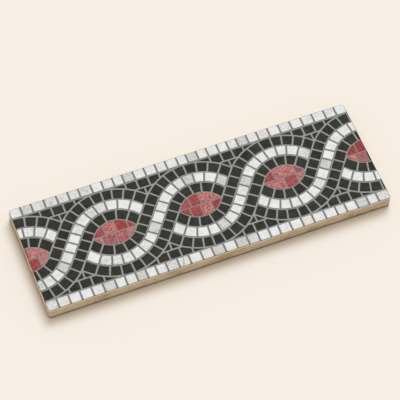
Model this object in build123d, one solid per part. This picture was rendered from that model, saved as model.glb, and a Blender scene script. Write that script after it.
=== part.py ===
"""Border tile with a mosaic-look face, pressed and fired as one ceramic piece.

The face carries a two-strand guilloche. Each strand is a white row of tesserae between two black rows, and
the strands wave along the tile in opposite phase. They cross between red eyes, and the strand that climbs to
the right always passes over. Black spandrels fill the space up to a white border row along each long edge.
The tesserae stand proud of the joints by the relief of the press, so the whole tile is a single solid.

Millimetres. Origin at the middle of the back, +X along the tile, +Z out of the face.
"""

import math
import os
import random

from build123d import *

# Body
tile_length = 300.0
tile_width = 100.0
tile_thickness = 13.0
corner_radius = 2.0  # upright corners, in plan
foot_chamfer = 0.8  # lower edge, all round the back
face_margin = 0.5  # from the tile's edge to the outermost tesserae

# Relief of the face
relief = 0.3  # height of the tesserae above the joints
joint = 1.5  # width of the joints
eye_joint = 1.0  # width of the joints in and around an eye
tessera = 8.35  # depth of every row of a strand, across its run
strand_step = 9.3  # length of a strand's tesserae, joint included
border_step = 9.75  # length of a border row's tesserae, joint included
border_row_depth = 8.575  # of the white row along each long edge, margin included
step_variation = 0.12  # share by which the length of one tessera differs from the next
smallest_tessera = 2.0  # square millimetres: a smaller offcut stays joint

# Guilloche
repeats = 4  # eyes along the tile, with one half at either end
strand_share = 0.477  # radius of a strand's middle round an eye, as a share of the eyes' spacing
eye_step = 10.0  # between the upright joints of an eye
eye_stagger = 2.4  # shift of an eye's lower row against its upper row
spandrel_row = 7.3  # depth of the straight row at a spandrel's base
spandrel_step = 10.0  # between the upright joints of that row

# Keying channels of the back
channel_width = 5.0
channel_depth = 0.6
channel_pitch = 11.0
back_rim = 7.0  # flat rim around the channels

# Shapes that follow from those sizes
eye_spacing = tile_length / repeats
strand_radius = strand_share * eye_spacing
pitch = tessera + joint
crest = tile_width / 2 - border_row_depth - joint / 2  # height of a strand's outer joint above the long centre line
outer_radius = strand_radius + 1.5 * pitch  # outer joint of a strand
inner_radius = strand_radius - 1.5 * pitch  # inner joint of a strand, round the eye
arc_drop = outer_radius - crest  # from the long centre line to the centre of an arc
half_gap = math.hypot(eye_spacing, 2 * arc_drop) / 2  # half way between the two arcs that a strand joins
climb = math.asin(strand_radius / half_gap) - math.atan2(2 * arc_drop, eye_spacing)
bow = 2 * strand_radius * climb  # one whole arc, along the middle of a strand
straight = 2 * math.sqrt(half_gap**2 - strand_radius**2)  # tangent run through a crossing
half_run = bow + straight / 2
cut_off = 1.5 * pitch + joint / 2  # from the middle of an upper strand to where the lower one stops
field_level = tile_thickness - relief

setter = random.Random(7)  # uneven lengths of the tesserae, the same in every build


def varied(length):
    """A length as a setter's hand would give it."""
    return length * (1 + setter.uniform(-step_variation, step_variation))


def joints_along(start, end, step):
    """Places of the joints that divide a run into uneven tesserae, with both ends."""
    count = max(1, round((end - start) / step))
    lengths = [varied(step) for _ in range(count)]
    scale = (end - start) / sum(lengths)
    places = [start]
    for length in lengths:
        places.append(places[-1] + length * scale)
    return places


def between(uprights, left_end, right_end, gap=joint):
    """Left and right ends of the tesserae that upright joints part."""
    lefts = [left_end, *(x + gap / 2 for x in uprights)]
    rights = [*(x - gap / 2 for x in uprights), right_end]
    return [(left, right) for left, right in zip(lefts, rights) if right - left > gap]


def box_face(left, low, right, high):
    """Rectangle between two corners."""
    return Pos((left + right) / 2, (low + high) / 2) * Rectangle(right - left, high - low)


def disc(x, y, radius):
    """Round face about a point."""
    return Pos(x, y) * Circle(radius)


def strand_middle(run):
    """Point and heading of a strand's middle. The run starts left of an eye at the origin, rounds it from
    below and climbs through the next crossing, which is the strand's centre of symmetry."""
    if run > half_run:
        x, y, heading = strand_middle(2 * half_run - run)
        return eye_spacing - x, -y, heading
    turned = min(max(run, 0), bow)
    heading = turned / strand_radius - climb
    ahead = run - turned
    x = strand_radius * math.sin(heading) + ahead * math.cos(heading)
    y = arc_drop - strand_radius * math.cos(heading) + ahead * math.sin(heading)
    return x, y, heading


def strand_point(run, offset):
    """Point beside the middle of a strand, with the offset to its left."""
    x, y, heading = strand_middle(run)
    return x - offset * math.sin(heading), y + offset * math.cos(heading)


def stretch(run, offset):
    """Length of an offset row for each millimetre of the strand's middle."""
    if run < bow:
        return 1 - offset / strand_radius
    if run > bow + straight:
        return 1 + offset / strand_radius
    return 1


def row_length(run, offset):
    """Length of an offset row from the start of the run."""
    inner = min(run, bow) * (1 - offset / strand_radius)
    middle = min(max(run - bow, 0), straight)
    outer = max(run - bow - straight, 0) * (1 + offset / strand_radius)
    return inner + middle + outer


def run_at(length, offset):
    """Run at which an offset row has that length."""
    low, high = -half_run, 3 * half_run
    while high - low > 1e-6:
        run = (low + high) / 2
        low, high = (run, high) if row_length(run, offset) < length else (low, run)
    return low


def emerging_run(offset):
    """Run at which an offset row comes out from under the strand that crosses over it, left of the eye."""

    def beyond(run):
        x, y = strand_point(run, offset)
        return (x + eye_spacing / 2) * math.sin(climb) - y * math.cos(climb) - cut_off

    low, high = -straight / 2, bow / 2
    while high - low > 1e-6:
        run = (low + high) / 2
        low, high = (run, high) if beyond(run) < 0 else (low, run)
    return low


def diving_run(offset):
    """Run at which an offset row goes under the next strand: the emerging end, turned half round."""
    return 2 * half_run - emerging_run(-offset)


def row_edge(offset, start, end):
    """Edge of a tessera along its row: an arc, or a line where the row runs straight."""
    first, middle, last = (Vector(*strand_point(run, offset)) for run in (start, (start + end) / 2, end))
    sagitta = (middle - (first + last) / 2).length
    if sagitta < joint / 100:
        return Line(first, last)
    return ThreePointArc(first, middle, last)


def strand_row(offset):
    """Tesserae of one row of a strand, for the eye at the origin."""
    edges = (offset - tessera / 2, offset + tessera / 2)
    start, end = (row_length(run, offset) for run in (emerging_run(offset), diving_run(offset)))
    places = [run_at(length, offset) for length in joints_along(start, end, strand_step)]
    last = len(places) - 2
    for number, (place, following) in enumerate(zip(places, places[1:])):
        starts = [place + joint / 2 / stretch(place, edge) for edge in edges]
        ends = [following - joint / 2 / stretch(following, edge) for edge in edges]
        if number == 0:
            starts = [emerging_run(edge) for edge in edges]
        if number == last:
            ends = [diving_run(edge) for edge in edges]
        right, left = (row_edge(*side) for side in zip(edges, starts, ends))
        yield Face(Wire([right, Line(right @ 1, left @ 1), left, Line(left @ 0, right @ 0)]))


def eye():
    """Tesserae of one eye: a lens between the inner joints of two strands, in two staggered rows."""
    reach = inner_radius + joint / 2 - eye_joint
    half_height = reach - arc_drop
    if half_height < eye_joint:
        return
    lens = disc(0, -arc_drop, reach) & disc(0, arc_drop, reach)
    half_length = lens.bounding_box().max.X
    for side in (-1, 1):
        uprights = [side * eye_stagger / 2 + place * eye_step for place in (-1, 0, 1)]
        uprights = [x + varied(eye_step) - eye_step for x in uprights]
        low, high = sorted((side * eye_joint / 2, side * half_height))
        for left, right in between(uprights, -half_length, half_length, eye_joint):
            yield from (lens & box_face(left, low, right, high)).faces()


def spandrel():
    """Tesserae above a crossing at the origin: a straight row under the border, over a split triangle."""
    half = eye_spacing / 2
    arcs = [disc(side * half, -arc_drop, outer_radius + joint / 2) for side in (-1, 1)]
    top = crest - joint / 2
    base = top - spandrel_row
    shift = varied(spandrel_step) - spandrel_step
    uprights = [shift + place * spandrel_step for place in (-1.5, -0.5, 0.5, 1.5)]
    cells = [box_face(left, base, right, top) for left, right in between(uprights, -half, half)]
    cells += [box_face(left, 0, right, base - joint) for left, right in between([0], -half, half)]
    for cell in cells:
        yield from (cell - arcs).faces()


def border_row():
    """Tesserae of the white row along one long edge."""
    half = tile_length / 2
    uprights = joints_along(-half, half, border_step)[1:-1]
    for left, right in between(uprights, -half, half):
        yield box_face(left, crest + joint / 2, right, tile_width / 2).face()


def mosaic():
    """Every tessera of the face, cut off at the margin of the tile."""
    reach = math.ceil(tile_length / 2 / eye_spacing) + 1
    for number in range(-reach, reach + 1):
        at_eye = Pos(number * eye_spacing, 0)
        at_crossing = Pos((number + 0.5) * eye_spacing, 0)
        for offset in (-pitch, 0, pitch):
            yield from (at_eye * cell for cell in strand_row(offset))
        yield from (at_eye * cell for cell in eye())
        for half_turn in (0, 180):
            yield from (at_crossing * Rot(0, 0, half_turn) * cell for cell in spandrel())
    for half_turn in (0, 180):
        yield from (Rot(0, 0, half_turn) * cell for cell in border_row())


def trimmed(cells):
    """The cells inside the face's margin, cut there where they run past it."""
    length = tile_length - 2 * face_margin
    width = tile_width - 2 * face_margin
    window = RectangleRounded(length, width, corner_radius - face_margin)
    for cell in cells:
        box = cell.bounding_box()
        along = max(abs(box.min.X), abs(box.max.X))
        across = max(abs(box.min.Y), abs(box.max.Y))
        nearest = 0 if box.min.X * box.max.X < 0 else min(abs(box.min.X), abs(box.max.X))
        if nearest >= length / 2:
            continue
        inside = along < length / 2 - corner_radius and across < width / 2
        pieces = [cell] if inside else (cell & window).faces()
        yield from (piece for piece in pieces if piece.area > smallest_tessera)


def body():
    """Slab below the joints, with its keyed back."""
    slab = extrude(RectangleRounded(tile_length, tile_width, corner_radius), field_level)
    slab = chamfer(slab.faces().sort_by(Axis.Z)[0].edges(), foot_chamfer)
    channel = extrude(SlotOverall(tile_length - 2 * back_rim, channel_width), channel_depth)
    count = 2 * int((tile_width / 2 - back_rim) / channel_pitch)
    return slab - [place * channel for place in GridLocations(0, channel_pitch, 1, count)]


def border_tile():
    """The whole tile: the slab with every tessera raised on it."""
    pads = [extrude(Pos(0, 0, field_level) * cell, relief) for cell in trimmed(mosaic())]
    print(len(pads), "tesserae")
    return body() + pads


tile = border_tile()
os.makedirs("parts", exist_ok=True)
export_step(tile, "parts/border_tile.step")
print("solids", len(tile.solids()), "volume", round(tile.volume))
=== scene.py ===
"""Looks of the border tile: cut tesserae with eased edges, grey joints and a sandy fired body."""

import math
import random

import bmesh
import bpy
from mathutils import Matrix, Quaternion, Vector, noise


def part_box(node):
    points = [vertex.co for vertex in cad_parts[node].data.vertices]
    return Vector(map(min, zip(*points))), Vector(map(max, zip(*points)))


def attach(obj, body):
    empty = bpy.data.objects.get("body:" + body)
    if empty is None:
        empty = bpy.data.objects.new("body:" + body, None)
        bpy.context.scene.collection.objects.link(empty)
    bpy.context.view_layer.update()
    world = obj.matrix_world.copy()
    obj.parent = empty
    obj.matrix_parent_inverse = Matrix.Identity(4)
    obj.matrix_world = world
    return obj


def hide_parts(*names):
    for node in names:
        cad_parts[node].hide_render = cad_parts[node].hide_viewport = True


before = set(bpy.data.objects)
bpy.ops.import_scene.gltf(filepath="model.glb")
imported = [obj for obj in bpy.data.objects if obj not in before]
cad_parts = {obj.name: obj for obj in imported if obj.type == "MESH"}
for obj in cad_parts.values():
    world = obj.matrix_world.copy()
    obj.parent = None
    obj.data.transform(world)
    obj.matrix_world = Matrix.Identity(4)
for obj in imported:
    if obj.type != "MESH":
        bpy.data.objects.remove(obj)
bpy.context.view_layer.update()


def srgb(red, green, blue):
    """Linear colour of a screen colour given from 0 to 255."""
    linear = []
    for value in (red, green, blue):
        share = value / 255
        linear.append(share / 12.92 if share <= 0.04045 else ((share + 0.055) / 1.055) ** 2.4)
    return (*linear, 1.0)


mm = 0.001
picture = 400  # pixels along each side of the photograph

# The tile and its guilloche, as the solid has them
low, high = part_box("border_tile")
length = high.x - low.x
width = high.y - low.y
repeats = 4  # eyes along the tile, with one half at either end
strand_share = 0.477  # radius of a strand's middle, as a share of the eyes' spacing
tessera = 8.35 * mm  # depth of a row of tesserae
joint = 1.5 * mm
relief = 0.3 * mm
border_row_depth = 8.575 * mm

field_level = high.z - relief
eye_spacing = length / repeats
strand_radius = strand_share * eye_spacing
pitch = tessera + joint
half_strand = 1.5 * pitch  # a strand is three rows wide
eye_radius = strand_radius - half_strand
crest = width / 2 - border_row_depth - joint / 2  # height of a strand's outer joint above the centre line
arc_drop = strand_radius + half_strand - crest  # from that line to the centre of an arc
half_gap = math.hypot(eye_spacing, 2 * arc_drop) / 2  # half way between the two arcs that a strand joins
climb = math.asin(strand_radius / half_gap) - math.atan2(2 * arc_drop, eye_spacing)
straight = 2 * math.sqrt(half_gap**2 - strand_radius**2)  # run of a strand through a crossing

# Cut of the tesserae
bedding = 0.3 * mm  # depth to which a tessera goes on below the joints
nip_spacing = 2.6 * mm  # between the small kinks of a cut edge
nip_size = 1.7 * mm
nip_depth = 0.11 * mm
eased_edge = 0.14 * mm
worn_band = 0.55 * mm  # along the edges of a tessera's top
sharp_corner = math.radians(40)  # a tessera with a sharper corner has no worn band
settling = 0.05 * mm  # by which one tessera may lie lower than the next

# Joints and body
field_thickness = 0.15 * mm
arris = 0.24 * mm  # upper edge of the body
rim_depth = 1.2 * mm  # of the outer faces, measured inwards
back_depth = 1.0 * mm  # reached by the channels of the back and the chamfer round it
side_spacing = 1.25 * mm  # between the points along a side
side_height = 1.8 * mm  # between the points up a side
side_roughness = 0.07 * mm
sand_size = 1.9 * mm
chip_size = 3.5 * mm
chip_start = 0.3  # noise above which the upper edge is chipped
chip_depth = 0.5 * mm
chip_reach = 1.4 * mm  # down from the upper edge

# Limits for the work on meshes
weld = 0.001 * mm
hair = 0.01 * mm  # less than any step of the relief
flat_angle = math.radians(1)  # faces that differ by less become one
smooth_angle = math.radians(32)  # edges that turn by more stay sharp
facing_up = 0.9  # least upward part of a level face's normal
in_line = 0.99  # least share of an edge's length along the axis that it follows

# How dark the tesserae beside a joint are
darkness = {
    "white_border": 0.0,
    "white_strand": 0.0,
    "red_eye": 0.6,
    "black_strand": 1.0,
    "black_spandrel": 1.0,
}

# Stone. Every tessera has a tone, a tint and a mark by chance, and one of the near border row has a tan vein
stone_spread = (0.9, 0.7, 0.8)  # metres by which these shift a tessera's cut through the stone
largest_mark = 0.9
vein_mark = 0.95  # more than chance gives
veined_stone = (0.6, 0.9, 1.0)  # tone, tint and mark of the veined tessera
veined_at = Vector((-32.6 * mm, -45 * mm))
vein_lean = -0.3  # sideways for each unit across the tile
vein_wander = 260.0  # scale of its bends
vein_bend = 4.0 * mm
vein_edge = 0.9 * mm  # from the middle of the vein to where it has faded out
vein_core = 0.2 * mm
stone_grain = 0.05 * mm

# Joint and clay. A band goes from the height where a tone starts to the height where it is full
joint_grain = 0.12 * mm
clay_grain = 0.2 * mm
# Painted light on the sides of the body: a highlight band along the upper edge, shade towards the bottom and
# a contact shadow at the foot
highlight_band = (10.6 * mm, 12.0 * mm)
lower_shade_band = (5.0 * mm, 1.4 * mm)
foot_shadow_band = (2.4 * mm, 1.0 * mm)
joint_shade_rim = 1.0  # breadths of the rims where shade is painted, in millimetres
clay_shade_rim = 1.2
full_rim = 0.67  # share of a rim's breadth over which its mask is full

# Stage
floor_reach = 3.0
floor_colour = srgb(250, 242, 232)
surround_colour = (1.05, 0.985, 0.87, 1.0)  # warm, so that the shadow is
surround_strength = 0.588
lamp_colour = (0.934, 1.02, 1.172)  # cool by as much, so that a lit face is neutral
lamp_strength = 1.495
lamp_spread = math.radians(35)
lamp_from = Vector((0.4, 0.57, 1.0))

# Camera, fitted to the pattern of the face in the photograph
lens_pixels = 1977.4
camera_distance = 1631.2 * mm
camera_azimuth = math.radians(23.907)
camera_elevation = math.radians(58.892)
camera_roll = math.radians(2.758)
camera_target = Vector((0.93 * mm, 3.83 * mm, high.z))
sensor_width = 36.0
nearest_seen = 10 * mm

seed = 11
hand = random.Random(seed)
noise.seed_set(seed)  # else the kinks of the cut edges differ from run to run


# Which tessera is what


def beside_strand(x, y):
    """Distance from the middle of the strand that rounds the eye at x = 0 from below, and along it from the
    crossing where it lies on top. The strand is the same again when turned half round that crossing."""
    if (x - eye_spacing / 2) * math.cos(climb) + y * math.sin(climb) > 0:
        x, y = eye_spacing - x, -y
    heading = math.atan2(x, arc_drop - y)
    if abs(heading) <= climb:
        aside = abs(strand_radius - math.hypot(x, arc_drop - y))
        return aside, (climb - heading) * strand_radius + straight / 2
    out = abs(x) - strand_radius * math.sin(climb)
    up = y - arc_drop + strand_radius * math.cos(climb)
    aside = abs(up * math.cos(climb) - out * math.sin(climb))
    ahead = out * math.cos(climb) + up * math.sin(climb)
    if heading > 0:
        return aside, straight / 2 - ahead
    if ahead < straight / 2:
        return aside, 2 * climb * strand_radius + straight / 2 + ahead
    return width, width  # past the end of this stretch, so beside no row of it


def kind_of(centre):
    """Kind of the tessera with this centre."""
    if abs(centre.y) > crest:
        return "white_border"
    strands = [beside_strand(centre.x - eye * eye_spacing, centre.y) for eye in range(-repeats, repeats)]
    shown = [(along, aside) for aside, along in strands if aside < half_strand]
    if shown:
        return "white_strand" if min(shown)[1] < pitch / 2 else "black_strand"
    eye_x = centre.x - eye_spacing * round(centre.x / eye_spacing)
    if math.hypot(eye_x, abs(centre.y) + arc_drop) < eye_radius:
        return "red_eye"
    return "black_spandrel"


# Meshes


def merged_copy():
    """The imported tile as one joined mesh."""
    bm = bmesh.new()
    bm.from_mesh(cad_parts["border_tile"].data)
    bmesh.ops.remove_doubles(bm, verts=bm.verts, dist=weld)
    return bm


def largest(faces):
    """The face with the largest area."""
    return max(faces, key=lambda face: face.calc_area())


def sharpest(face):
    """Smallest corner angle of a face."""
    return min(loop.calc_angle() for loop in face.loops)


def holds(outline, point):
    """Whether a point is within the box of an outline."""
    for axis, place in enumerate(point):
        places = [corner[axis] for corner in outline]
        if not min(places) < place < max(places):
            return False
    return True


def ease(bm, edges, breadth, segments):
    """Edges rounded off."""
    bmesh.ops.bevel(
        bm,
        geom=edges,
        offset=breadth,
        offset_type="OFFSET",
        segments=segments,
        profile=0.5,
        affect="EDGES",
        material=-1,
        clamp_overlap=True,
    )


def outlines():
    """Outline of every tessera's top, by kind."""
    bm = merged_copy()
    lower = [face for face in bm.faces if face.calc_center_median().z < high.z - hair]
    bmesh.ops.delete(bm, geom=lower, context="FACES")
    bmesh.ops.dissolve_limit(bm, angle_limit=flat_angle, verts=bm.verts, edges=bm.edges)
    found = {}
    for face in bm.faces:
        kind = kind_of(face.calc_center_median_weighted())
        found.setdefault(kind, []).append([corner.co.copy() for corner in face.verts])
    bm.free()
    return found


def cut_edges(bm):
    """Kinks along the edges of a flat outline, as nippers leave them."""
    for edge in bm.edges[:]:
        cuts = int(edge.calc_length() / nip_spacing)
        if cuts:
            bmesh.ops.subdivide_edges(bm, edges=[edge], cuts=cuts)
    for corner in bm.verts:
        kink = noise.noise_vector(corner.co / nip_size)
        corner.co += Vector((kink.x, kink.y, 0)) * nip_depth


def block(outline):
    """One tessera: a cut outline, raised from below the joints, with its edges eased and worn. Each of its
    corners holds the chance values of its stone, and 1 at the edges or 0 inside the worn band."""
    bm = bmesh.new()
    foot = bm.faces.new([bm.verts.new(corner) for corner in outline])
    pointed = sharpest(foot) < sharp_corner
    cut_edges(bm)
    bmesh.ops.translate(bm, verts=bm.verts, vec=(0, 0, -relief - bedding))
    raised = bmesh.ops.extrude_face_region(bm, geom=bm.faces[:], use_keep_orig=True)["geom"]
    top = [part for part in raised if isinstance(part, bmesh.types.BMFace)][0]
    rise = relief + bedding - hand.uniform(0, settling)
    bmesh.ops.translate(bm, verts=top.verts[:], vec=(0, 0, rise))
    bmesh.ops.recalc_face_normals(bm, faces=bm.faces)
    ease(bm, top.edges[:], eased_edge, segments=2)
    layer = bm.verts.layers.float_color.new("tessera")
    stone = (hand.random(), hand.random(), largest_mark * hand.random())
    if holds(outline, veined_at):
        stone = veined_stone
    for corner in bm.verts:
        corner[layer] = (*stone, 1.0)
    top = max(bm.faces, key=lambda face: face.calc_center_median().z)
    if not pointed:
        bmesh.ops.inset_individual(bm, faces=[top], thickness=worn_band, use_even_offset=True)
    for corner in top.verts:
        corner[layer] = (*stone, 0.0)
    return bm


def tesserae(shapes):
    """All the tesserae of one kind."""
    whole = bmesh.new()
    scratch = bpy.data.meshes.new("scratch")
    for outline in shapes:
        bm = block(outline)
        bm.to_mesh(scratch)
        bm.free()
        whole.from_mesh(scratch)
    bpy.data.meshes.remove(scratch)
    return whole


def slab():
    """The tile without its tesserae, with the places where they stood closed."""
    bm = merged_copy()
    upper = [face for face in bm.faces if face.calc_center_median().z > field_level + hair]
    bmesh.ops.delete(bm, geom=upper, context="FACES")
    bmesh.ops.holes_fill(bm, edges=[edge for edge in bm.edges if edge.is_boundary])
    bmesh.ops.recalc_face_normals(bm, faces=bm.faces)
    return bm


def on_field(face):
    """Whether a face is part of the joint field."""
    return face.normal.z > facing_up and face.calc_center_median().z > field_level - hair


def joint_field():
    """The joints as a thin closed layer. Each of its corners holds how dark the tessera beside it is, and
    whether that is part of an eye."""
    bm = slab()
    bmesh.ops.delete(bm, geom=[face for face in bm.faces if not on_field(face)], context="FACES")
    rim = [corner for corner in bm.verts if corner.is_boundary]
    bmesh.ops.scale(bm, verts=rim, vec=(1 - 2 * arris / length, 1 - 2 * arris / width, 1))
    layer = bm.verts.layers.float_color.new("tessera")
    for corner in bm.verts:
        footprint = largest(corner.link_faces)
        kind = kind_of(footprint.calc_center_median_weighted())
        corner[layer] = (darkness[kind], float(kind == "red_eye"), 0.0, 1.0)
    under = bm.verts[:]
    bmesh.ops.extrude_face_region(bm, geom=bm.faces[:], use_keep_orig=True)
    bmesh.ops.translate(bm, verts=under, vec=(0, 0, -field_thickness))
    bmesh.ops.recalc_face_normals(bm, faces=bm.faces)
    return bm


def at_side(place):
    """Whether a point is on the outer faces of the body, away from the channels of its back."""
    return abs(place.x) > length / 2 - rim_depth or abs(place.y) > width / 2 - rim_depth


def outer_edges(bm, axis, spacing):
    """Edges of the outer faces that follow an axis, 0, 1 or 2, and are longer than a spacing."""
    found = []
    for edge in bm.edges:
        start, end = (corner.co for corner in edge.verts)
        run = edge.calc_length()
        follows = abs(end[axis] - start[axis]) > in_line * run
        if follows and run > spacing and at_side(start) and at_side(end):
            found.append(edge)
    return found


def roughen(bm):
    """Sandy sides and a chipped upper edge. Everything moves inwards, and the back stays flat."""
    bm.normal_update()
    moves = []
    for corner in bm.verts:
        place = corner.co
        if not at_side(place) or place.z < hair:
            continue
        sand = 0.5 + 0.5 * noise.noise(place / sand_size)
        chip = max(0.0, noise.noise(place / chip_size) - chip_start)
        near_edge = max(0.0, 1 - (field_level - place.z) / chip_reach)
        moves.append((corner, side_roughness * sand + chip_depth * chip * near_edge))
    for corner, depth in moves:
        corner.co -= corner.normal * depth


def body():
    """The fired body, with an eased and chipped upper edge and rough sides. Its back keeps the triangles that
    it has, because one face with channels cut out of it would be filled wrongly."""
    bm = slab()
    corners = [corner for corner in bm.verts if corner.co.z > back_depth]
    edges = [edge for edge in bm.edges if max(end.co.z for end in edge.verts) > back_depth]
    bmesh.ops.dissolve_limit(bm, angle_limit=flat_angle, verts=corners, edges=edges)
    cap = largest(face for face in bm.faces if on_field(face))
    ease(bm, cap.edges[:], arris, segments=3)
    cap = largest(face for face in bm.faces if face.normal.z > facing_up)
    bmesh.ops.translate(bm, verts=cap.verts[:], vec=(0, 0, -field_thickness / 2))
    for axis, spacing in enumerate((side_spacing, side_spacing, side_height)):
        edges = outer_edges(bm, axis, spacing)
        cuts = round(max(edge.calc_length() for edge in edges) / spacing) - 1
        bmesh.ops.subdivide_edges(bm, edges=edges, cuts=cuts, use_grid_fill=True)
    roughen(bm)
    return bm


# Nodes


def add(tree, kind, inputs=None, **settings):
    """A node with its settings and inputs. An input that is given a socket is linked to it."""
    made = tree.nodes.new("ShaderNode" + kind)
    for name, value in settings.items():
        setattr(made, name, value)
    for name, value in (inputs or {}).items():
        if isinstance(value, bpy.types.NodeSocket):
            tree.links.new(value, made.inputs[name])
        else:
            made.inputs[name].default_value = value
    return made


def laid_over(tree, colour, *layers):
    """Colour with others laid over it one by one, each through its own mask."""
    for mask, over in layers:
        inputs = {"Factor": mask, "A": colour, "B": over}
        colour = add(tree, "Mix", inputs, data_type="RGBA").outputs["Result"]
    return colour


def math_of(tree, operation, *values):
    """Result of an operation on plain or linked values."""
    return add(tree, "Math", dict(enumerate(values)), operation=operation).outputs["Value"]


def part_of(tree, value, share):
    """A value times a share, which may be linked too."""
    return math_of(tree, "MULTIPLY", value, share)


def ramp(tree, value, start, end, low_value=0.0, high_value=1.0):
    """Value stretched from one range to another, smoothly and within its ends."""
    inputs = {"Value": value, "From Min": start, "From Max": end, "To Min": low_value, "To Max": high_value}
    return add(tree, "MapRange", inputs, interpolation_type="SMOOTHSTEP").outputs["Result"]


def new_group(name, inputs, outputs):
    """Empty node group, with its inputs and outputs as they are met inside it."""
    tree = bpy.data.node_groups.new(name, "ShaderNodeTree")
    for label, kind, value in inputs:
        socket = tree.interface.new_socket(label, in_out="INPUT", socket_type="NodeSocket" + kind)
        if value is not None:
            socket.default_value = value
    for label, kind in outputs:
        tree.interface.new_socket(label, in_out="OUTPUT", socket_type="NodeSocket" + kind)
    return tree, tree.nodes.new("NodeGroupInput").outputs, tree.nodes.new("NodeGroupOutput").inputs


def placed(tree, name, **inputs):
    """Outputs of a group placed in a material with its own values."""
    return add(tree, "Group", inputs, node_tree=groups[name]).outputs


def stone_piece_group():
    """What one tessera has of its own: its cut through the stone, three chance values and its worn edge."""
    values = [(label, "Float") for label in ("Tone", "Tint", "Mark", "Edge")]
    tree, _, out = new_group("stone piece", [], [("Place", "Vector"), *values])
    stone = add(tree, "Attribute", attribute_name="tessera").outputs
    chance = add(tree, "SeparateColor", {"Color": stone["Color"]}).outputs
    shift = add(tree, "VectorMath", {0: stone["Vector"], 1: stone_spread}, operation="MULTIPLY")
    where = add(tree, "TexCoord").outputs["Object"]
    place = add(tree, "VectorMath", {0: where, 1: shift.outputs["Vector"]}, operation="ADD")
    tree.links.new(place.outputs["Vector"], out["Place"])
    tree.links.new(chance["Red"], out["Tone"])
    tree.links.new(chance["Green"], out["Tint"])
    tree.links.new(chance["Blue"], out["Mark"])
    tree.links.new(stone["Alpha"], out["Edge"])
    return tree


def clouds_group():
    """Soft patches of a size given in millimetres."""
    inputs = [("Place", "Vector", None), ("Size", "Float", 3.0)]
    inputs += [("From", "Float", 0.35), ("To", "Float", 0.65)]
    tree, given, out = new_group("clouds", inputs, [("Amount", "Float")])
    scale = math_of(tree, "DIVIDE", 1 / mm, given["Size"])
    patches = add(tree, "TexNoise", {"Vector": given["Place"], "Scale": scale, "Detail": 3.0})
    tree.links.new(ramp(tree, patches.outputs["Fac"], given["From"], given["To"]), out["Amount"])
    return tree


def flecks_group():
    """Scattered grains of a size given in millimetres. The share is how many of them show."""
    inputs = [("Place", "Vector", None), ("Size", "Float", 0.8), ("Share", "Float", 0.3)]
    tree, given, out = new_group("flecks", inputs, [("Amount", "Float")])
    scale = math_of(tree, "DIVIDE", 1 / mm, given["Size"])
    cells = add(tree, "TexVoronoi", {"Vector": given["Place"], "Scale": scale, "Randomness": 1.0}).outputs
    chosen = add(tree, "SeparateColor", {"Color": cells["Color"]}).outputs["Red"]
    shown = math_of(tree, "LESS_THAN", chosen, given["Share"])
    core = ramp(tree, cells["Distance"], 0.55, 0.2)
    tree.links.new(part_of(tree, core, shown), out["Amount"])
    return tree


def grain_group():
    """Height of a fine sandy grain, of a size given in millimetres."""
    inputs = [("Place", "Vector", None), ("Size", "Float", 0.5)]
    tree, given, out = new_group("grain", inputs, [("Height", "Float")])
    scale = math_of(tree, "DIVIDE", 1 / mm, given["Size"])
    settings = {"Vector": given["Place"], "Scale": scale, "Detail": 4.0, "Roughness": 0.65}
    tree.links.new(add(tree, "TexNoise", settings).outputs["Fac"], out["Height"])
    return tree


def rim_group():
    """Mask of the outermost band of the tile, of a breadth given in millimetres."""
    tree, given, out = new_group("rim", [("Breadth", "Float", 1.0)], [("Amount", "Float")])
    where = add(tree, "TexCoord").outputs["Object"]
    place = add(tree, "VectorMath", {0: where}, operation="ABSOLUTE").outputs["Vector"]
    axes = add(tree, "SeparateXYZ", {"Vector": place}).outputs
    past_end = math_of(tree, "SUBTRACT", axes["X"], length / 2)
    past_edge = math_of(tree, "SUBTRACT", axes["Y"], width / 2)
    outermost = math_of(tree, "MULTIPLY", math_of(tree, "MAXIMUM", past_end, past_edge), 1 / mm)
    start = math_of(tree, "MULTIPLY", given["Breadth"], -1.0)
    tree.links.new(ramp(tree, outermost, start, part_of(tree, start, full_rim)), out["Amount"])
    return tree


# Materials


def new_material(name):
    """A new material, its node tree and its shader."""
    material = bpy.data.materials.new(name)
    material.use_nodes = True
    tree = material.node_tree
    return material, tree, tree.nodes["Principled BSDF"]


def surface(tree, shader, colour, roughness, gloss):
    """Colour, roughness and gloss of a shader."""
    tree.links.new(colour, shader.inputs["Base Color"])
    tree.links.new(roughness, shader.inputs["Roughness"])
    shader.inputs["Specular IOR Level"].default_value = gloss


def raise_surface(tree, shader, height, strength, depth):
    """Bump of a shader's surface from a height."""
    bump = add(tree, "Bump", {"Height": height, "Strength": strength, "Distance": depth})
    tree.links.new(bump.outputs["Normal"], shader.inputs["Normal"])


def stone_surface(tree, shader, own, colour, cloudy, gloss):
    """Satin surface of a stone, duller in its patches, with a fine grain."""
    surface(tree, shader, colour, ramp(tree, cloudy, 0.0, 1.0, 0.5, 0.65), gloss)
    height = placed(tree, "grain", Place=own["Place"], Size=0.45)["Height"]
    raise_surface(tree, shader, height, strength=0.25, depth=stone_grain)


def vein_of(tree, own):
    """Mask of a crooked vein across the veined tessera."""
    where = add(tree, "TexCoord").outputs["Object"]
    wander = add(tree, "TexNoise", {"Vector": where, "Scale": vein_wander, "Detail": 2.0}).outputs["Fac"]
    place = add(tree, "SeparateXYZ", {"Vector": where}).outputs
    aside = math_of(tree, "SUBTRACT", place["X"], veined_at.x)
    across = math_of(tree, "SUBTRACT", place["Y"], veined_at.y)
    leaning = math_of(tree, "ADD", aside, part_of(tree, across, vein_lean))
    bend = part_of(tree, math_of(tree, "SUBTRACT", wander, 0.5), vein_bend)
    distance = math_of(tree, "ABSOLUTE", math_of(tree, "ADD", leaning, bend))
    veined = math_of(tree, "GREATER_THAN", own["Mark"], vein_mark)
    return part_of(tree, ramp(tree, distance, vein_edge, vein_core), veined)


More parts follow.
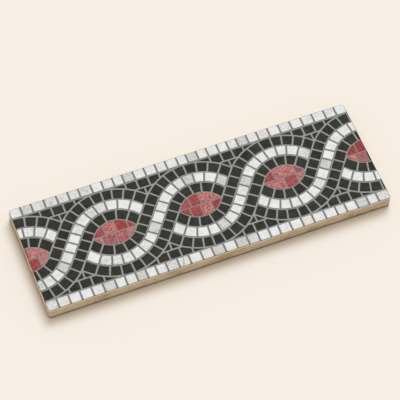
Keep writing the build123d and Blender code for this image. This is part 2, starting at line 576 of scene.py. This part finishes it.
def white_stone():
    """White marble: clean and bright in most tesserae, greyer and speckled in some."""
    material, tree, shader = new_material("white_stone")
    own = placed(tree, "stone piece")
    cloudy = placed(tree, "clouds", Place=own["Place"], Size=6.0)["Amount"]
    speckled = placed(tree, "clouds", Place=own["Place"], Size=1.7, From=0.44, To=0.66)["Amount"]
    greyness = ramp(tree, own["Tone"], 0.7, 1.0)
    warmth = ramp(tree, own["Tint"], 0.6, 1.0, 0.0, 0.5)
    speckle = part_of(tree, speckled, ramp(tree, own["Tone"], 0.4, 0.95, 0.18, 0.75))
    vein = vein_of(tree, own)
    colour = laid_over(
        tree,
        srgb(236, 237, 236),
        (greyness, srgb(204, 204, 202)),
        (warmth, srgb(222, 216, 205)),
        (part_of(tree, cloudy, 0.3), srgb(208, 209, 209)),
        (speckle, srgb(178, 177, 173)),
        (part_of(tree, vein, 0.75), srgb(176, 148, 112)),
        (part_of(tree, own["Edge"], 0.15), srgb(180, 178, 173)),
    )
    stone_surface(tree, shader, own, colour, cloudy, gloss=0.3)
    return material


def black_stone():
    """Black stone with a faint brown or green cast in one tessera or the next."""
    material, tree, shader = new_material("black_stone")
    own = placed(tree, "stone piece")
    cloudy = placed(tree, "clouds", Place=own["Place"], Size=4.0)["Amount"]
    flecked = placed(tree, "flecks", Place=own["Place"], Size=1.3, Share=0.25)["Amount"]
    brown = ramp(tree, own["Tint"], 0.6, 1.0, 0.0, 0.6)
    green = ramp(tree, own["Mark"], 0.7, 1.0, 0.0, 0.6)
    colour = laid_over(
        tree,
        srgb(20, 20, 13),
        (own["Tone"], srgb(37, 37, 28)),
        (brown, srgb(42, 35, 25)),
        (green, srgb(28, 34, 27)),
        (part_of(tree, cloudy, 0.3), srgb(50, 50, 41)),
        (part_of(tree, flecked, 0.3), srgb(84, 83, 72)),
        (part_of(tree, own["Edge"], 0.1), srgb(80, 79, 74)),
    )
    stone_surface(tree, shader, own, colour, cloudy, gloss=0.15)
    return material


def red_stone():
    """Red marble, crimson in one tessera and rosy in the next, with pale and dark grains."""
    material, tree, shader = new_material("red_stone")
    own = placed(tree, "stone piece")
    cloudy = placed(tree, "clouds", Place=own["Place"], Size=3.0)["Amount"]
    speckled = placed(tree, "clouds", Place=own["Place"], Size=1.7, From=0.45, To=0.58)["Amount"]
    dark = placed(tree, "flecks", Place=own["Place"], Size=1.4, Share=0.3)["Amount"]
    rosy = ramp(tree, own["Tone"], 0.38, 0.52)
    mauve = ramp(tree, own["Tint"], 0.6, 0.8, 0.0, 0.4)
    brick = ramp(tree, own["Tint"], 0.35, 0.15, 0.0, 0.35)
    pale = part_of(tree, speckled, ramp(tree, rosy, 0.0, 1.0, 0.2, 0.8))
    violet = part_of(tree, cloudy, ramp(tree, own["Mark"], 0.45, 0.9, 0.0, 0.85))
    colour = laid_over(
        tree,
        srgb(136, 28, 34),
        (rosy, srgb(178, 100, 100)),
        (mauve, srgb(168, 88, 96)),
        (brick, srgb(170, 76, 62)),
        (part_of(tree, cloudy, 0.25), srgb(152, 52, 56)),
        (pale, srgb(206, 142, 136)),
        (part_of(tree, dark, 0.85), srgb(118, 32, 36)),
        (violet, srgb(168, 124, 130)),
        (part_of(tree, own["Edge"], 0.15), srgb(160, 104, 100)),
    )
    stone_surface(tree, shader, own, colour, cloudy, gloss=0.2)
    return material


def grey_joint():
    """Sandy grey joint, lighter among black tesserae, darker among white ones, rosy within the eyes and
    darkest along the rim, where shade is painted. Its tone is the darkness of the tessera beside it, and its
    tint marks the eyes."""
    material, tree, shader = new_material("grey_joint")
    own = placed(tree, "stone piece")
    where = add(tree, "TexCoord").outputs["Object"]
    cloudy = placed(tree, "clouds", Place=where, Size=6.0)["Amount"]
    height = placed(tree, "grain", Place=where, Size=0.4)["Height"]
    rim = placed(tree, "rim", Breadth=joint_shade_rim)["Amount"]
    colour = laid_over(
        tree,
        srgb(123, 123, 121),
        (own["Tone"], srgb(158, 159, 155)),
        (own["Tint"], srgb(160, 146, 140)),
        (part_of(tree, cloudy, 0.2), srgb(128, 126, 119)),
        (ramp(tree, height, 0.45, 0.75, 0.0, 0.3), srgb(172, 172, 166)),
        # painted shade: a dark line along the tile's outer edge, below the border tesserae
        (part_of(tree, rim, 0.95), srgb(52, 47, 41)),
    )
    surface(tree, shader, colour, ramp(tree, height, 0.3, 0.7, 0.95, 0.75), gloss=0.2)
    raise_surface(tree, shader, height, strength=0.5, depth=joint_grain)
    return material


def fired_clay():
    """Tan biscuit: sandy, with a painted highlight along the upper edge, painted shade towards the bottom and
    a painted contact shadow along the foot.
    """
    material, tree, shader = new_material("fired_clay")
    where = add(tree, "TexCoord").outputs["Object"]
    level = add(tree, "SeparateXYZ", {"Vector": where}).outputs["Z"]
    cloudy = placed(tree, "clouds", Place=where, Size=14.0, From=0.4, To=0.7)["Amount"]
    sandy = placed(tree, "flecks", Place=where, Size=0.9, Share=0.35)["Amount"]
    pitted = placed(tree, "flecks", Place=where, Size=1.8, Share=0.12)["Amount"]
    height = placed(tree, "grain", Place=where, Size=0.6)["Height"]
    rim = placed(tree, "rim", Breadth=clay_shade_rim)["Amount"]
    # painted highlight along the upper edge of the sides
    pale = ramp(tree, level, *highlight_band, 0.0, 0.8)
    # painted shade, darker towards the bottom of the outer faces
    lower_shade = part_of(tree, rim, ramp(tree, level, *lower_shade_band, 0.0, 0.45))
    # painted contact shadow along the foot of the outer faces
    foot = part_of(tree, rim, ramp(tree, level, *foot_shadow_band))
    colour = laid_over(
        tree,
        srgb(203, 184, 156),
        (cloudy, srgb(180, 154, 122)),
        (part_of(tree, sandy, 0.35), srgb(220, 202, 176)),
        (part_of(tree, pitted, 0.5), srgb(132, 104, 74)),
        # the last three layers are a painted highlight, painted shade and a painted contact shadow
        (pale, srgb(236, 224, 207)),
        (lower_shade, srgb(128, 104, 80)),
        (foot, srgb(66, 42, 20)),
    )
    surface(tree, shader, colour, ramp(tree, height, 0.3, 0.7, 0.95, 0.8), gloss=0.2)
    raise_surface(tree, shader, height, strength=0.6, depth=clay_grain)
    return material


# Pieces and stage


def mesh_of(name, bm, material):
    """Mesh of a finished shape with its material."""
    mesh = bpy.data.meshes.new(name)
    bm.to_mesh(mesh)
    bm.free()
    mesh.materials.append(material)
    return mesh


def in_scene(name, data):
    """New object in the scene."""
    made = bpy.data.objects.new(name, data)
    bpy.context.scene.collection.objects.link(made)
    return made


def piece(name, bm, material):
    """A finished piece of the tile."""
    mesh = mesh_of(name, bm, material)
    mesh.shade_smooth()
    mesh.set_sharp_from_angle(angle=smooth_angle)
    made = in_scene(name, mesh)
    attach(made, "root")
    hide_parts("border_tile")


def floor():
    """Plain pale floor, a hair below the tile."""
    material, _, shader = new_material("floor_cream")
    shader.inputs["Base Color"].default_value = floor_colour
    shader.inputs["Roughness"].default_value = 0.9
    shader.inputs["Specular IOR Level"].default_value = 0.0
    bm = bmesh.new()
    bmesh.ops.create_grid(bm, x_segments=1, y_segments=1, size=floor_reach)
    bmesh.ops.translate(bm, verts=bm.verts, vec=(0, 0, -hair))
    made = in_scene("floor", mesh_of("floor", bm, material))


def surround():
    """Even studio light from all round. Seen directly or in a reflection, it has the colour of the floor."""
    world = bpy.data.worlds.new("studio")
    world.use_nodes = True
    tree = world.node_tree
    light = tree.nodes["Background"]
    light.inputs["Color"].default_value = surround_colour
    light.inputs["Strength"].default_value = surround_strength
    seen = add(tree, "Background", {"Color": floor_colour, "Strength": 1.0})
    rays = add(tree, "LightPath").outputs
    shown = math_of(tree, "MAXIMUM", rays["Is Camera Ray"], rays["Is Glossy Ray"])
    shown = math_of(tree, "MAXIMUM", shown, rays["Is Transmission Ray"])
    choice = add(tree, "MixShader", {0: shown, 1: light.outputs[0], 2: seen.outputs[0]})
    tree.links.new(choice.outputs[0], tree.nodes["World Output"].inputs["Surface"])
    bpy.context.scene.world = world


def lamp():
    """Broad lamp behind the tile and to the right."""
    light = bpy.data.lights.new("lamp", "SUN")
    light.energy = lamp_strength
    light.color = lamp_colour
    light.angle = lamp_spread
    made = in_scene("lamp", light)
    made.rotation_euler = (-lamp_from).to_track_quat("-Z", "Y").to_euler()


def camera():
    """Camera of the photograph, aimed at the face."""
    data = bpy.data.cameras.new("camera")
    data.sensor_width = sensor_width
    data.lens = lens_pixels / picture * sensor_width
    data.clip_start = nearest_seen
    ahead = math.cos(camera_elevation)
    down = math.sin(camera_elevation)
    view = Vector((math.sin(camera_azimuth) * ahead, math.cos(camera_azimuth) * ahead, -down))
    made = in_scene("camera", data)
    made.location = camera_target - view * camera_distance
    made.rotation_mode = "QUATERNION"
    made.rotation_quaternion = view.to_track_quat("-Z", "Y") @ Quaternion((0, 0, 1), camera_roll)
    bpy.context.scene.camera = made


# The tile on its stage

bpy.context.scene.view_settings.view_transform = "Standard"
makers = (stone_piece_group, clouds_group, flecks_group, grain_group, rim_group)
groups = {group.name: group for group in (maker() for maker in makers)}
white, black, red = white_stone(), black_stone(), red_stone()
finishes = {
    "white_border": ("white_tesserae", white),
    "white_strand": ("white_tesserae", white),
    "black_strand": ("black_tesserae", black),
    "black_spandrel": ("black_tesserae", black),
    "red_eye": ("red_tesserae", red),
}
for kind, shapes in outlines().items():
    slot, material = finishes[kind]
    piece(kind + "_tesserae", tesserae(shapes), material)
piece("joint_field", joint_field(), grey_joint())
piece("tile_body", body(), fired_clay())
floor()
surround()
lamp()
camera()
